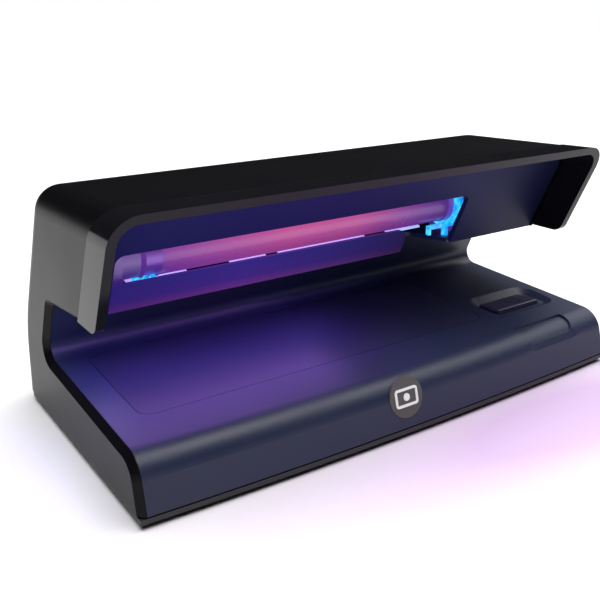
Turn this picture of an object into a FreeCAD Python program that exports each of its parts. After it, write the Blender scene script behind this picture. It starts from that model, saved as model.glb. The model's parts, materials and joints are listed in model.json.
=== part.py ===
"""Desk-top counterfeit bill detector with an ultraviolet tube under a C-shaped hood.

Millimetres. +X runs to the right, +Y to the back and +Z up. The origin is on the table,
under the middle of the object's box.
"""
import FreeCAD, Part
import math
import os

V = FreeCAD.Vector

# ---------------------------------------------------------------- driving dimensions
WIDTH = 206.0
DEPTH = 109.0
WALL = 2.2              # moulded shell thickness, and the thickness of each cheek
BEVEL = 2.1             # bevel on the cheeks round the throat
SEAM = 0.15             # half-open line between neighbouring mouldings
FIT = 0.1               # side clearance of a moulding between the cheeks

FOOT_HEIGHT = 1.2       # how far the feet stand below the tray
PARTING_Z = 4.0         # height of the line between the tray and the shells
LEAN = 0.465            # how far a hood surface comes forward for each unit of height

FRONT_Y = -DEPTH / 2
FRONT_RAKE = 0.25       # how far the front face goes back for each unit of height
FRONT_BOW = 2000.0      # plan radius of the front face
FRONT_EDGE_R = 9.0

PLATFORM_SLOPE = 0.0514
CREASE = (29.1, 24.4)   # y and z where the platform meets the throat wall
CREASE_R = 5.0
THROAT_RAKE = -0.46
CEILING_FRONT = (-12.0, 49.2)
CEILING_SLOPE = -0.105

HOOD_LOW_Z = 50.4       # underside of the hood's front band
HOOD_FRONT_Y = -26.2    # front of the band at that height
BAND_DEPTH = 14.4       # front to back depth of the band
BAND_WALL = 3.0
BAND_PROUD = 0.3        # how far the band stands out from the shell behind it
TOP_Z = 87.7            # top surface of the shell where it meets the band
TOP_SLOPE = -0.039
LONG_EDGE_R = 9.0

REAR_Y = DEPTH / 2
REAR_TOP_Y = 28.5
REAR_BEND_Z = 31.5
REAR_TOP_R = 10.0
REAR_BEND_R = 55.0

PANEL_SETBACK = 1.0     # panel face behind the band's rear edge
PANEL_T = 2.0
PANEL_DROP = 1.3        # panel's lower edge below the band's
WINDOW_X = (-93.0, 53.0)
WINDOW_TOP_Z = 70.6
GUARD_END_X = 26.0
GUARD_TOP_Z = 60.6

LAMP_Y = -3.5
LAMP_Z = 65.2
LAMP_X = (-80.0, 56.0)  # faces of the two caps of a 4 W, 16 mm tube
GLASS_R = 7.75
CAP_R = 8.0
CAP_LENGTH = 6.0
PIN_R = 1.2
PIN_PITCH = 5.0
PIN_LENGTH = 6.6
ROTOR_R = 6.0
ROTOR_T = 5.0
ROTOR_PLAY = 0.06

PLATE_X = (-91.0, 56.5)
PLATE_Y = (-27.7, 20.9)
PLATE_R = 5.0
PLATE_T = 1.2
PLATE_GAP = 0.25

BADGE_X = -6.0
BADGE_Z = 14.2
BADGE_R = 7.1
BADGE_T = 1.0
MARK_SIZE = (9.8, 6.4)
MARK_LINE = 0.9
MARK_T = 0.25

BUTTON_X = (66.2, 90.6)
BUTTON_Y = (-26.0, -15.0)
BUTTON_REAR_Z = 21.1
BUTTON_FRONT_Z = 21.8
BUTTON_LOW_Z = 15.0
BUTTON_TRAVEL = 1.5
BUTTON_PLAY = 0.2
POCKET_FLOOR_Z = 19.9
POCKET_RIM_Z = 22.9     # height at which the pocket's sloping walls end, above the platform
POCKET_FLOOR = (65.0, 94.0, -27.6, -14.2, 3.0)      # x, y and corner radius at the floor
POCKET_RIM = (60.6, 98.2, -35.0, -9.8, 8.0)         # the same at the rim's height

RECESS_X = (57.5, 88.0)     # thumb recess over the front edge
RECESS_LOW_Z = 14.2
RECESS_REAR_Y = -41.0
RECESS_DEPTH = 0.9
RECESS_BEVEL = 2.6          # width of its sloping lower and right-hand walls
RECESS_R = 4.0

FLOOR_T = 1.8           # hood floor, open under the tube
FLOOR_OPEN_X = (-78.5, 53.0)
FLOOR_OPEN_Y = (-14.0, 15.5)
HOLDER_FRONT = 7.5      # lamp holder in front of and behind the tube's axis
HOLDER_BACK = 9.0
HOLDER_FOOT = 8.0
HOLDER_FOOT_T = 2.0
HOLDER_SCREW_Y = 13.0
HOLDER_BLOCK = (7.6, 12.0)  # the holder's block, outside the cap's face
HOLDER_PILOT_R = 1.0
WIRE_PORT_Y = 4.5       # wire entries in a holder, from the tube's axis
WIRE_PORTS_Z = (-6.5, 6.5)
CLIP_GAP = 0.4          # spring clip outside the cap
CLIP_T = 1.4
CLIP_HIGH_LEFT = -40.0  # upper end of the straps, in degrees above the horizontal
CLIP_HIGH_RIGHT = 38.0

TRAY_FLOOR = 1.8
TRAY_LIP = (3.2, 4.6)   # outer and inner inset of the tray's locating lip
TRAY_LIP_TOP_Z = 6.5
TRAY_GROOVE = (0.5, 1.2)    # height and depth of the shadow line under the shells
FOOT_R = 5.5
FOOT_RECESS = 0.6
FOOT_SITES = {
    "front_left": (-78.0, -38.0),
    "front_right": (78.0, -38.0),
    "rear_left": (-74.0, 41.0),
    "rear_right": (74.0, 41.0),
}
BOSS_R = 3.6
SCREW_R = 1.3
SCREW_HEAD_R = 2.7
FRONT_SCREWS = [(-92.0, -40.0), (92.0, -40.0)]
REAR_SCREWS = [(-88.0, 44.0), (88.0, 44.0)]

VENT_COUNT = 9          # slots in the back wall
VENT_PITCH = 6.0
VENT_W = 2.4
VENT_Z = (9.0, 24.0)
TRAY_VENT_COUNT = 7     # slots in each of the tray's two groups
TRAY_VENT_PITCH = 5.0
TRAY_VENT_X = 34.0
TRAY_VENT_Y = (-30.0, -6.0)
TRAY_VENT_W = 2.2

JACK_X = 66.0
JACK_Z = 13.0
JACK_R = 4.6
JACK_DEPTH = 11.0
JACK_BORE_R = 2.8
JACK_BORE_DEPTH = 9.5
JACK_PIN_R = 1.05

SWITCH_TOP_Z = 12.4
SWITCH_HALF = 5.0
SWITCH_SITES = [(68.0, -20.5), (89.0, -20.5)]
BUTTON_ROOF_Z = 18.4    # roof of the hollow under the key
BUTTON_WALL = 1.2
PLUNGER_HALF = 1.6
SPRING_R = 3.5
SPRING_WIRE_R = 0.5
SPRING_TURNS = 3

BOARD_T = 1.6
BOARD_Z = 7.0
BOARD_X = (-62.0, 44.0)
BOARD_Y = (-2.0, 30.0)
BOARD_SITES = [(-58.0, 2.0), (40.0, 2.0), (-58.0, 26.0), (40.0, 26.0)]
SWITCH_BOARD_T = 1.2
WIRE_R = 0.7

# ---------------------------------------------------------------- derived places
SIDE = WIDTH / 2
INNER = SIDE - WALL
BUTTON_MID = (sum(BUTTON_X) / 2, sum(BUTTON_Y) / 2)
BOARD_TOP = BOARD_Z + BOARD_T
SCREW_SITES = FRONT_SCREWS + REAR_SCREWS


def front_line(z):
    """y of the band's front face."""
    return HOOD_FRONT_Y - LEAN * (z - HOOD_LOW_Z)


def band_rear(z):
    """y of the band's rear edge."""
    return front_line(z) + BAND_DEPTH


def panel_face(z):
    return band_rear(z) + PANEL_SETBACK


def platform_z(y):
    return CREASE[1] + PLATFORM_SLOPE * (y - CREASE[0])


def ceiling_z(y):
    return CEILING_FRONT[1] + CEILING_SLOPE * (y - CEILING_FRONT[0])


def floor_top(y):
    """Upper face of the hood floor."""
    return ceiling_z(y) + FLOOR_T * math.sqrt(1 + CEILING_SLOPE ** 2) + 0.02


def top_z(y):
    return TOP_Z + TOP_SLOPE * (y - band_rear(TOP_Z))


def front_setback(x):
    """How far the bowed front lies behind its middle."""
    return x * x / (2 * FRONT_BOW)


def front_face_y(z, x=0.0):
    return FRONT_Y + front_setback(x) + FRONT_RAKE * (z - PARTING_Z)


def front_corner(x=0.0):
    """Sharp corner of the front face and the platform."""
    rise = FRONT_Y + front_setback(x) - FRONT_RAKE * PARTING_Z
    z = CREASE[1] + PLATFORM_SLOPE * (rise - CREASE[0])
    z = z / (1 - PLATFORM_SLOPE * FRONT_RAKE)
    return (front_face_y(z, x), z)


def throat_top():
    """Where the throat wall meets the ceiling of the throat."""
    k = THROAT_RAKE
    y0 = CREASE[0] - k * CREASE[1]
    base = CEILING_FRONT[1] - CEILING_SLOPE * CEILING_FRONT[0]
    y = (y0 + k * base) / (1 - k * CEILING_SLOPE)
    return (y, ceiling_z(y))


# ---------------------------------------------------------------- shape helpers
def rounded_wire(corners, place):
    """Closed wire through (a, b, radius) corners; place turns (a, b) into a point."""
    edges = []
    ends = []
    count = len(corners)
    for i in range(count):
        a = V(corners[i - 1][0], corners[i - 1][1], 0)
        b = V(corners[i][0], corners[i][1], 0)
        c = V(corners[(i + 1) % count][0], corners[(i + 1) % count][1], 0)
        r = corners[i][2]
        into = (a - b).normalize()
        out = (c - b).normalize()
        angle = into.getAngle(out)
        if r <= 0 or angle > math.pi - 1e-4:
            ends.append((b, None, b))
            continue
        reach = r / math.tan(angle / 2)
        middle = b + (into + out).normalize() * (r / math.sin(angle / 2) - r)
        ends.append((b + into * reach, middle, b + out * reach))
    for i, (start, middle, end) in enumerate(ends):
        if middle is not None:
            edges.append(Part.Arc(place(start), place(middle), place(end)).toShape())
        following = ends[(i + 1) % count][0]
        if (following - end).Length > 1e-6:
            edges.append(Part.LineSegment(place(end), place(following)).toShape())
    return Part.Wire(edges)


def side_wire(corners, x=0.0):
    return rounded_wire(corners, lambda p: V(x, p.x, p.y))


def side_solid(corners, x0, x1):
    """A (y, z, radius) outline, extruded from x0 to x1."""
    face = Part.Face(side_wire(corners, x0))
    return face.extrude(V(x1 - x0, 0, 0))


def level_wire(corners, z):
    return rounded_wire(corners, lambda p: V(p.x, p.y, z))


def plan_solid(corners, z0, z1):
    """An (x, y, radius) outline, extruded from z0 to z1."""
    return Part.Face(level_wire(corners, z0)).extrude(V(0, 0, z1 - z0))


def front_solid(corners, y0, y1):
    """An (x, z, radius) outline, extruded from y0 to y1."""
    face = Part.Face(rounded_wire(corners, lambda p: V(p.x, y0, p.y)))
    return face.extrude(V(0, y1 - y0, 0))


def box(x0, x1, y0, y1, z0, z1):
    return Part.makeBox(x1 - x0, y1 - y0, z1 - z0, V(x0, y0, z0))


def rect(x0, x1, y0, y1, r):
    return [(x0, y0, r), (x1, y0, r), (x1, y1, r), (x0, y1, r)]


def rod(r, start, end):
    """Cylinder between two points."""
    return Part.makeCylinder(r, (end - start).Length, start, end - start)


def ring(r_out, r_in, start, end):
    return rod(r_out, start, end).cut(rod(r_in, start, end))


def offset_chain(chain, t):
    """An open (y, z, radius) chain moved by t to its left."""
    flat = [V(p[0], p[1], 0) for p in chain]
    normals = []
    for a, b in zip(flat, flat[1:]):
        d = (b - a).normalize()
        normals.append(V(-d.y, d.x, 0))
    moved = []
    for i, p in enumerate(flat):
        n0 = normals[max(i - 1, 0)]
        n1 = normals[min(i, len(normals) - 1)]
        reach = t / (1 + n0.dot(n1))
        turns_left = n0.cross(n1).z > 0
        r = chain[i][2]
        if r > 0:
            r = max(r - t, 0) if turns_left else r + t
        moved.append((p.x + (n0.x + n1.x) * reach, p.y + (n0.y + n1.y) * reach, r))
    return moved


def strip(chain, t):
    """Outline of a sheet of thickness t on the left of an open chain."""
    return [tuple(p) for p in chain] + offset_chain(chain, t)[::-1]


def edges_where(shape, test):
    return [e for e in shape.Edges if test(e.CenterOfMass, e)]


def fuse_all(shapes):
    body = shapes[0]
    for other in shapes[1:]:
        body = body.fuse(other)
    return body.removeSplitter()


def wire_run(points, r, bend):
    """Insulated wire: straight runs joined by tangent arcs."""
    edges = []
    at = points[0]
    for before, corner, after in zip(points, points[1:], points[2:]):
        into = (before - corner).normalize()
        out = (after - corner).normalize()
        angle = into.getAngle(out)
        reach = bend / math.tan(angle / 2)
        middle = corner + (into + out).normalize() * (bend / math.sin(angle / 2) - bend)
        start = corner + into * reach
        end = corner + out * reach
        edges.append(Part.LineSegment(at, start).toShape())
        edges.append(Part.Arc(start, middle, end).toShape())
        at = end
    edges.append(Part.LineSegment(at, points[-1]).toShape())
    path = Part.Wire(edges)
    circle = Part.Wire(Part.makeCircle(r, points[0], points[1] - points[0]))
    return path.makePipeShell([circle], True, False)


def export(name, shape):
    shape.exportStep("parts/" + name + ".step")


# ---------------------------------------------------------------- outer profile
def hood_outline(x):
    """C-shaped side outline of the whole object above the tray."""
    corner = front_corner(x)
    throat = throat_top()
    top_front = TOP_Z + 1.0
    return [
        (front_face_y(PARTING_Z, x), PARTING_Z, 0),
        (REAR_Y, PARTING_Z, 0),
        (REAR_Y, REAR_BEND_Z, REAR_BEND_R),
        (REAR_TOP_Y, top_z(REAR_TOP_Y), REAR_TOP_R),
        (front_line(top_front), top_z(front_line(top_front)), 0),
        (front_line(HOOD_LOW_Z), HOOD_LOW_Z, 5.0),
        (CEILING_FRONT[0], CEILING_FRONT[1], 0),
        (throat[0], throat[1], 2.5),
        (CREASE[0], CREASE[1], CREASE_R),
        (corner[0], corner[1], FRONT_EDGE_R),
    ]


def is_long_outer_edge(p, edge):
    """End edges of the top and the back of the shell."""
    at_end = abs(abs(p.x) - SIDE) < 1e-3
    back = p.y > REAR_TOP_Y + 1.0 and p.z > PARTING_Z + 1.0
    top = p.z > top_z(REAR_TOP_Y) - 6.0 and p.y > front_line(TOP_Z) + 3.0
    return at_end and (back or top) and abs(p.z - PARTING_Z) > 0.5


def is_throat_edge(p, edge):
    """End edges of the front face, platform, throat wall and ceiling."""
    at_end = abs(abs(p.x) - SIDE) < 1e-3
    behind_band = p.y > HOOD_FRONT_Y + BAND_DEPTH - 1.5
    low = p.z < HOOD_LOW_Z and (p.z < 40.0 or behind_band)
    return at_end and low and p.y < CREASE[0] + 1.0 and p.z > PARTING_Z + 0.5


def band_zone(gap):
    """Everything in front of the band's rear edge, at hood height."""
    low = HOOD_LOW_Z - 4.0
    high = TOP_Z + 20.0
    return side_solid(
        [
            (band_rear(low) + gap, low, 0),
            (band_rear(high) + gap, high, 0),
            (-90.0, high, 0),
            (-90.0, low, 0),
        ],
        -SIDE - 5,
        SIDE + 5,
    )


def rear_housing():
    """Top, back and both cheeks in one moulding."""
    body = side_solid(hood_outline(SIDE), -SIDE, SIDE)
    body = body.makeFillet(LONG_EDGE_R, edges_where(body, is_long_outer_edge))
    body = body.makeChamfer(BEVEL, edges_where(body, is_throat_edge))
    lower_front = FRONT_Y - 10
    hollow = side_solid(
        [
            (lower_front, -5.0, 0),
            (REAR_Y - WALL, -5.0, 0),
            (REAR_Y - WALL, REAR_BEND_Z, REAR_BEND_R - WALL),
            (REAR_TOP_Y - 1.3, top_z(REAR_TOP_Y) - WALL, REAR_TOP_R - WALL),
            (lower_front, top_z(lower_front) - WALL, 0),
        ],
        -INNER,
        INNER,
    )

    def is_long_inner_edge(p, edge):
        back = p.y > REAR_TOP_Y - 4.0 and p.z > 0
        top = p.z > top_z(REAR_TOP_Y) - 8.0 and p.y > lower_front + 1
        return abs(abs(p.x) - INNER) < 1e-3 and (back or top)

    hollow = hollow.makeFillet(LONG_EDGE_R - WALL, edges_where(hollow, is_long_inner_edge))
    body = body.cut(hollow).cut(band_zone(SEAM))
    for x, y in REAR_SCREWS:
        boss = ring(BOSS_R, SCREW_R + 0.05, V(x, y, PARTING_Z + 0.2), V(x, y, 20.0))
        web = box(x - 0.8, x + 0.8, y + BOSS_R - 0.5, REAR_Y - 1, PARTING_Z + 3.5, 18.0)
        body = body.fuse(boss).fuse(web)
    jack_hole = rod(JACK_R + 0.1, V(JACK_X, REAR_Y - 6, JACK_Z), V(JACK_X, REAR_Y + 2, JACK_Z))
    body = body.cut(jack_hole)
    for i in range(VENT_COUNT):
        x = (i - (VENT_COUNT - 1) / 2) * VENT_PITCH
        outline = rect(x - VENT_W / 2, x + VENT_W / 2, VENT_Z[0], VENT_Z[1], VENT_W / 2 - 0.01)
        body = body.cut(front_solid(outline, REAR_Y - 6, REAR_Y + 3))
    return body


def hood_bezel():
    """Gloss band round the front of the hood, an inverted U with rounded corners."""
    out = SIDE + BAND_PROUD
    high = top_z(front_line(TOP_Z)) + BAND_PROUD
    rear_high = top_z(band_rear(TOP_Z)) + BAND_PROUD
    outline = [
        (band_rear(HOOD_LOW_Z) - SEAM, HOOD_LOW_Z - BAND_PROUD, 0),
        (band_rear(rear_high) - SEAM, rear_high, 0),
        (front_line(high), high, 0),
        (front_line(HOOD_LOW_Z), HOOD_LOW_Z - BAND_PROUD, 5.0),
    ]
    body = side_solid(outline, -out, out)

    def top_end(p, edge):
        return abs(abs(p.x) - out) < 1e-3 and p.z > rear_high - 0.6

    body = body.makeFillet(LONG_EDGE_R + BAND_PROUD, edges_where(body, top_end))
    inside = out - BAND_WALL
    hollow = side_solid(
        [
            (40.0, 20.0, 0),
            (40.0, top_z(40.0) - BAND_WALL + BAND_PROUD, 0),
            (-80.0, top_z(-80.0) - BAND_WALL + BAND_PROUD, 0),
            (-80.0, 20.0, 0),
        ],
        -inside,
        inside,
    )

    def hollow_top(p, edge):
        return abs(abs(p.x) - inside) < 1e-3 and p.z > 80.0 and abs(p.y) < 40.0

    hollow = hollow.makeFillet(LONG_EDGE_R + BAND_PROUD - BAND_WALL, edges_where(hollow, hollow_top))
    return body.cut(hollow)


def cover_solid(inset, low, high, half):
    """Everything under and behind the front, platform and throat wall, less inset."""
    k = THROAT_RAKE
    chain = [
        (CREASE[0] + k * (high - CREASE[1]), high, 0),
        (CREASE[0], CREASE[1], CREASE_R),
        (-90.0, platform_z(-90.0), 0),
    ]
    top, crease, front = offset_chain(chain, inset)
    outline = [top, crease, front, (-90.0, low, 0), (80.0, low, 0), (80.0, top[1], 0)]
    body = side_solid(outline, -half, half)
    slant = math.sqrt(1 + FRONT_RAKE ** 2)
    r_low = FRONT_BOW - inset * slant + FRONT_RAKE * (PARTING_Z + 20.0)
    cone = Part.makeCone(r_low, r_low - FRONT_RAKE * 100.0, 100.0, V(0, FRONT_Y + FRONT_BOW, -20.0))
    body = body.common(cone)

    def front_edge(p, edge):
        return p.z > 15.0 and p.y < -40.0 and edge.Length > half

    return body.makeFillet(FRONT_EDGE_R - inset, edges_where(body, front_edge))


def front_cover():
    top = throat_top()[1] - 0.4
    body = cover_solid(0.0, PARTING_Z + SEAM, top, INNER - FIT)
    body = body.cut(cover_solid(WALL, -10.0, top + 10.0, SIDE))
    floor_low = POCKET_FLOOR_Z - WALL
    well = plan_solid(rect(61.0, 97.5, -34.0, -8.0, 3.0), floor_low, platform_z(-34.0) - 0.6)
    guide = plan_solid(
        rect(BUTTON_X[0] - 2, BUTTON_X[1] + 2, BUTTON_Y[0] - 2, BUTTON_Y[1] + 2, 2.0),
        BUTTON_LOW_Z + 0.6,
        floor_low + 0.5,
    )
    body = body.fuse(well).fuse(guide)
    for x, y in FRONT_SCREWS:
        body = body.fuse(rod(BOSS_R, V(x, y, PARTING_Z + 0.2), V(x, y, platform_z(y) - 1.2)))
        body = body.cut(rod(SCREW_R + 0.05, V(x, y, 0), V(x, y, 16.0)))
    body = body.removeSplitter()
    pocket_low = level_wire(rect(*POCKET_FLOOR), POCKET_FLOOR_Z)
    pocket_high = level_wire(rect(*POCKET_RIM), POCKET_RIM_Z)
    pocket = Part.makeLoft([pocket_low, pocket_high], True, True)
    body = body.cut(pocket)
    key_hole = plan_solid(
        rect(BUTTON_X[0] - BUTTON_PLAY, BUTTON_X[1] + BUTTON_PLAY,
             BUTTON_Y[0] - BUTTON_PLAY, BUTTON_Y[1] + BUTTON_PLAY, 1.2),
        5.0,
        30.0,
    )
    body = body.cut(key_hole)
    body = body.cut(plate_shape(0.0, PLATE_T + 0.1, 3.0))
    body = body.cut(badge_disc(BADGE_R + 0.12, -BADGE_T, 4.0))
    return body.cut(thumb_recess())


def thumb_recess():
    """Skin of a shallow relief that wraps over the front edge on the right, with sloping walls."""
    x0, x1 = RECESS_X
    low = RECESS_LOW_Z + RECESS_BEVEL
    window = front_solid(rect(x0, x1 - RECESS_BEVEL, low, 40.0, RECESS_R), -70.0, RECESS_REAR_Y)
    return window.cut(cover_solid(RECESS_DEPTH, -10.0, 60.0, SIDE)).fuse(recess_walls())


def recess_walls():
    """Tapered block, square to the front face, that slopes the recess's lower and right walls."""
    half = sum(RECESS_X) / 2 - RECESS_X[0]
    high = 12.0
    wires = []
    for y, spread in ((RECESS_DEPTH, 0.0), (-RECESS_DEPTH, 2 * RECESS_BEVEL)):
        right = half - RECESS_BEVEL + spread
        outline = rect(-half, right, RECESS_BEVEL - spread, high, RECESS_R)
        wires.append(rounded_wire(outline, lambda p: V(p.x, y, p.y)))
    block = Part.makeLoft(wires, True, True)
    block.rotate(V(0, 0, 0), V(1, 0, 0), -math.degrees(math.atan(FRONT_RAKE)))
    x = sum(RECESS_X) / 2
    block.rotate(V(0, 0, 0), V(0, 0, 1), math.degrees(x / FRONT_BOW))
    block.translate(V(x, front_face_y(RECESS_LOW_Z, x), RECESS_LOW_Z))
    return block


def plate_shape(gap, depth, above):
    """Prism of the document plate, square to the sloping platform."""
    outline = rect(PLATE_X[0] + gap, PLATE_X[1] - gap, PLATE_Y[0] + gap, PLATE_Y[1] - gap, PLATE_R - gap)
    prism = plan_solid(outline, -depth, above)
    prism.rotate(V(0, 0, 0), V(1, 0, 0), math.degrees(math.atan(PLATFORM_SLOPE)))
    prism.translate(V(0, 0, platform_z(0.0)))
    return prism


def document_plate():
    return plate_shape(PLATE_GAP, PLATE_T, -0.05)


def badge_disc(r, deep, proud):
    """Disc square to the raked front face; deep is negative, into the face."""
    normal = V(0, -1, FRONT_RAKE).normalize()
    middle = V(BADGE_X, front_face_y(BADGE_Z, BADGE_X), BADGE_Z)
    return rod(r, middle + normal * deep, middle + normal * proud)


def badge():
    return badge_disc(BADGE_R, -BADGE_T + 0.05, 0.15)


def badge_mark():
    """Plain banknote pictogram: a frame with a disc in it."""
    normal = V(0, -1, FRONT_RAKE).normalize()
    tilt = math.degrees(math.atan(FRONT_RAKE))
    half_x, half_z = MARK_SIZE[0] / 2, MARK_SIZE[1] / 2
    inner_x, inner_z = half_x - MARK_LINE, half_z - MARK_LINE
    frame = front_solid(rect(-half_x, half_x, -half_z, half_z, 1.2), 0, MARK_T)
    frame = frame.cut(front_solid(rect(-inner_x, inner_x, -inner_z, inner_z, 0.4), -1, 1))
    disc = rod(1.3, V(0, 0, 0), V(0, MARK_T, 0))
    mark = Part.makeCompound([frame, disc])
    mark.rotate(V(0, 0, 0), V(1, 0, 0), -tilt)
    middle = V(BADGE_X, front_face_y(BADGE_Z, BADGE_X), BADGE_Z)
    mark.translate(middle + normal * 0.4)
    return mark


# ---------------------------------------------------------------- tray, feet, screws


def tray_plan(inset):
    """Plan of the tray: straight sides, round rear corners and a bowed front."""
    half = SIDE - inset
    back = REAR_Y - inset
    r = LONG_EDGE_R - inset
    front = FRONT_Y + front_setback(half) + inset
    bend = r * (1 - math.sqrt(0.5))
    edges = [
        Part.LineSegment(V(half, front, 0), V(half, back - r, 0)).toShape(),
        Part.Arc(V(half, back - r, 0), V(half - bend, back - bend, 0), V(half - r, back, 0)).toShape(),
        Part.LineSegment(V(half - r, back, 0), V(r - half, back, 0)).toShape(),
        Part.Arc(V(r - half, back, 0), V(bend - half, back - bend, 0), V(-half, back - r, 0)).toShape(),
        Part.LineSegment(V(-half, back - r, 0), V(-half, front, 0)).toShape(),
        Part.Arc(V(-half, front, 0), V(0, FRONT_Y + inset, 0), V(half, front, 0)).toShape(),
    ]
    return Part.Face(Part.Wire(edges))


def tray_slab(inset, z0, z1):
    slab = tray_plan(inset).extrude(V(0, 0, z1 - z0))
    slab.translate(V(0, 0, z0))
    return slab


def base_tray():
    lip_out, lip_in = TRAY_LIP
    body = tray_slab(0.3, FOOT_HEIGHT, PARTING_Z)
    low_edges = edges_where(body, lambda p, e: abs(p.z - FOOT_HEIGHT) < 1e-3)
    body = body.makeChamfer(0.8, low_edges)
    body = body.cut(tray_slab(lip_in, FOOT_HEIGHT + TRAY_FLOOR, 20.0))
    groove_height, groove_depth = TRAY_GROOVE
    groove = tray_slab(-1.0, PARTING_Z - groove_height, PARTING_Z + 1.0)
    body = body.cut(groove.cut(tray_slab(0.3 + groove_depth, 0.0, 20.0)))
    lip = tray_slab(lip_out, PARTING_Z - 1.0, TRAY_LIP_TOP_Z).cut(tray_slab(lip_in, 0.0, 20.0))
    body = body.fuse(lip).removeSplitter()
    for x, y in FOOT_SITES.values():
        body = body.cut(rod(FOOT_R + 0.1, V(x, y, 0), V(x, y, FOOT_HEIGHT + FOOT_RECESS)))
    for x, y in SCREW_SITES:
        pad = rod(BOSS_R + 1.2, V(x, y, FOOT_HEIGHT + 0.4), V(x, y, PARTING_Z))
        clear = rod(BOSS_R + 0.3, V(x, y, PARTING_Z), V(x, y, 30.0))
        body = body.fuse(pad).cut(clear)
        body = body.cut(rod(SCREW_HEAD_R + 0.2, V(x, y, 0), V(x, y, FOOT_HEIGHT + 1.5)))
        body = body.cut(rod(SCREW_R + 0.15, V(x, y, 0), V(x, y, 10.0)))
    half = TRAY_VENT_W / 2
    for side in (-1, 1):
        for i in range(TRAY_VENT_COUNT):
            x = side * TRAY_VENT_X + (i - (TRAY_VENT_COUNT - 1) / 2) * TRAY_VENT_PITCH
            outline = rect(x - half, x + half, TRAY_VENT_Y[0], TRAY_VENT_Y[1], half - 0.05)
            body = body.cut(plan_solid(outline, 0.0, PARTING_Z))
    for x, y in BOARD_SITES + SWITCH_SITES:
        post = ring(2.4, 0.9, V(x, y, FOOT_HEIGHT + 1.0), V(x, y, BOARD_Z - 0.02))
        body = body.fuse(post)
    return body.removeSplitter()


def rubber_foot(x, y):
    low = rod(FOOT_R - 0.2, V(x, y, 0), V(x, y, FOOT_HEIGHT + FOOT_RECESS - 0.05))
    return low.makeChamfer(0.4, edges_where(low, lambda p, e: p.z < 1e-3))


def cross_screw(x, y, z, length):
    """Pan screw pointing up, its head's underside at z."""
    head_t = 1.3
    head = rod(SCREW_HEAD_R, V(x, y, z - head_t), V(x, y, z))
    rim = edges_where(head, lambda p, e: abs(p.z - z + head_t) < 1e-3 and e.Length > SCREW_HEAD_R * 6)
    head = head.makeChamfer(0.35, rim)
    low, high = z - head_t - 1, z - head_t + 0.7
    slots = [
        box(x - 1.3, x + 1.3, y - 0.3, y + 0.3, low, high),
        box(x - 0.3, x + 0.3, y - 1.3, y + 1.3, low, high),
    ]
    shank = rod(SCREW_R - 0.05, V(x, y, z), V(x, y, z + length))
    return head.fuse(shank).cut(slots[0]).cut(slots[1])


def housing_screws():
    seat = FOOT_HEIGHT + 1.45
    return Part.makeCompound(
        [cross_screw(x, y, seat, 11.0) for x, y in SCREW_SITES]
    )


# ---------------------------------------------------------------- lamp bay
def lamp_panel():
    """Leaning panel behind the band, with the lamp window let into its lower edge."""
    low = HOOD_LOW_Z - PANEL_DROP
    high = TOP_Z - 3.6
    chain = [(panel_face(high), high, 0), (panel_face(low), low, 0)]
    body = side_solid(strip(chain, PANEL_T), -INNER + 0.4, INNER - 0.4)
    window = front_solid(
        [
            (WINDOW_X[0], WINDOW_TOP_Z, 3.0),
            (WINDOW_X[1], WINDOW_TOP_Z, 3.0),
            (WINDOW_X[1], 30.0, 0),
            (WINDOW_X[0], 30.0, 0),
        ],
        -60.0,
        20.0,
    )
    shoulder = LONG_EDGE_R - WALL + 1.0
    outline = front_solid(
        [
            (INNER - 0.4, low - 5, 0),
            (INNER - 0.4, high + 0.2, shoulder),
            (-INNER + 0.4, high + 0.2, shoulder),
            (-INNER + 0.4, low - 5, 0),
        ],
        -60.0,
        20.0,
    )
    return body.common(outline).cut(window)


def lamp_guard():
    """Violet strip across the lower part of the window, round at its free end."""
    low = HOOD_LOW_Z - 0.6
    chain = [(panel_face(GUARD_TOP_Z), GUARD_TOP_Z, 0), (panel_face(low), low, 0)]
    body = side_solid(strip(chain, PANEL_T - 0.4), WINDOW_X[0] + 0.15, GUARD_END_X)
    outline = front_solid(
        [
            (WINDOW_X[0], low - 1, 0),
            (GUARD_END_X, low - 1, 0),
            (GUARD_END_X, GUARD_TOP_Z - 0.6, 4.6),
            (WINDOW_X[0], GUARD_TOP_Z - 0.6, 0),
        ],
        -60.0,
        20.0,
    )
    return body.common(outline)




def hood_floor():
    """Underside of the hood behind the lamp panel, open below the tube."""
    panel_low = HOOD_LOW_Z - PANEL_DROP
    front = panel_face(panel_low) + PANEL_T * math.sqrt(1 + LEAN ** 2) + SEAM
    rear = throat_top()[0] + 5.0
    chain = [(rear, ceiling_z(rear) + 0.02, 0), (front, ceiling_z(front) + 0.02, 0)]
    body = side_solid(strip(chain, -FLOOR_T), -INNER + FIT, INNER - FIT)
    x0, x1 = FLOOR_OPEN_X
    body = body.cut(plan_solid(rect(x0, x1, FLOOR_OPEN_Y[0], FLOOR_OPEN_Y[1], 2.5), 40.0, 60.0))
    for x, y in holder_screw_sites():
        body = body.cut(rod(HOLDER_PILOT_R, V(x, y, 40.0), V(x, y, 60.0)))
    return body


def reflector():
    """White folded sheet over and behind the tube, its lower lip in three lengths."""
    chain = [
        (8.8, 51.4, 0),
        (14.2, 52.6, 2.0),
        (14.8, 70.0, 6.0),
        (7.0, 79.6, 6.0),
        (-12.0, 79.6, 5.0),
        (-16.4, 75.4, 0),
    ]
    body = side_solid(strip(chain, 0.7), LAMP_X[0] + 1.5, LAMP_X[1] - 2.5)
    for x0, x1 in ((-56.0, -38.0), (-23.0, -17.0), (24.0, 36.0)):
        body = body.cut(box(x0, x1, 5.0, 13.6, 48.0, 56.0))
    return body


def lamp_point(x, y=0.0, z=0.0):
    return V(x, LAMP_Y + y, LAMP_Z + z)


def uv_tube():
    inset = CAP_LENGTH - 4.4
    return ring(GLASS_R, GLASS_R - 0.8, lamp_point(LAMP_X[0] + inset), lamp_point(LAMP_X[1] - inset))


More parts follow.
